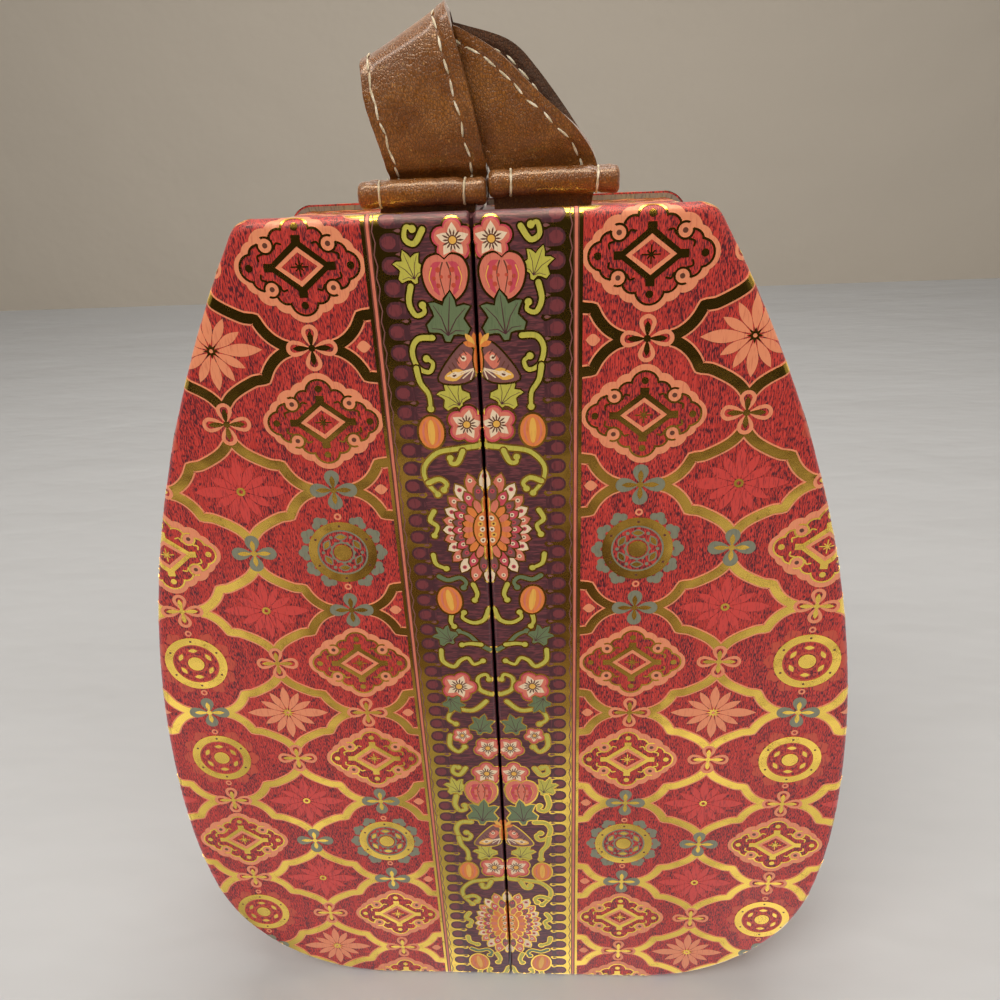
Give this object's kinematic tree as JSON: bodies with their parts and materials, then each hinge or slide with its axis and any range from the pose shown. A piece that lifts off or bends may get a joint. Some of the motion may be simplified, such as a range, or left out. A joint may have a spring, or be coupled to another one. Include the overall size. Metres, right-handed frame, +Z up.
{
  "type": "keepsake box",
  "caption": "Purse-shaped keepsake box covered in patterned paper: two half trays meet at a centre seam, swing open on a cloth spine, and each carries a leather strap.",
  "frame": {"origin": "on the surface the box stands on, under the middle of its bounding box", "axes": "+Z up, -Y out of the front face with the seam in its middle, +X towards the half that swings"},
  "size_m": [0.2086, 0.0536, 0.3038],
  "materials": {
    "printed_paper": "printed paper with foil, satin",
    "greyboard": "raw grey board, matte",
    "lining_paper": "plain laid paper, matte",
    "magnet": "nickel plated",
    "spine_cloth": "book cloth, matte",
    "strap_leather": "waxed brown hide, stitched",
    "roll_leather": "waxed brown hide, rolled",
    "anchor_card": "dense card, matte",
    "dowel": "plain dowel",
    "linen_thread": "waxed linen thread"
  },
  "bodies": {
    "left_half": {"left_front_board": "greyboard", "left_back_board": "greyboard", "left_top_board": "greyboard", "left_flank_board": "greyboard", "left_base_board": "greyboard", "left_front_paper": "printed_paper", "left_back_paper": "printed_paper", "left_wall_paper": "printed_paper", "left_lining": "lining_paper", "left_magnets": "magnet", "left_spine_leaf": "spine_cloth", "left_strap": "strap_leather", "left_anchor_card": "anchor_card", "left_front_roll": "roll_leather", "left_back_roll": "roll_leather", "left_roll_cores": "dowel", "left_roll_bindings": "linen_thread"},
    "right_half": {"right_front_board": "greyboard", "right_back_board": "greyboard", "right_top_board": "greyboard", "right_flank_board": "greyboard", "right_base_board": "greyboard", "right_front_paper": "printed_paper", "right_back_paper": "printed_paper", "right_wall_paper": "printed_paper", "right_lining": "lining_paper", "right_magnets": "magnet", "right_spine_leaf": "spine_cloth", "right_strap": "strap_leather", "right_anchor_card": "anchor_card", "right_front_roll": "roll_leather", "right_back_roll": "roll_leather", "right_roll_cores": "dowel", "right_roll_bindings": "linen_thread"}
  },
  "joints": [
    {"name": "spine_hinge", "type": "hinge", "parent": "left_half", "child": "right_half", "pos_m": [0, 0.0269, 0], "axis": [0, 0, 1], "range_deg": [0, 170]}
  ]
}
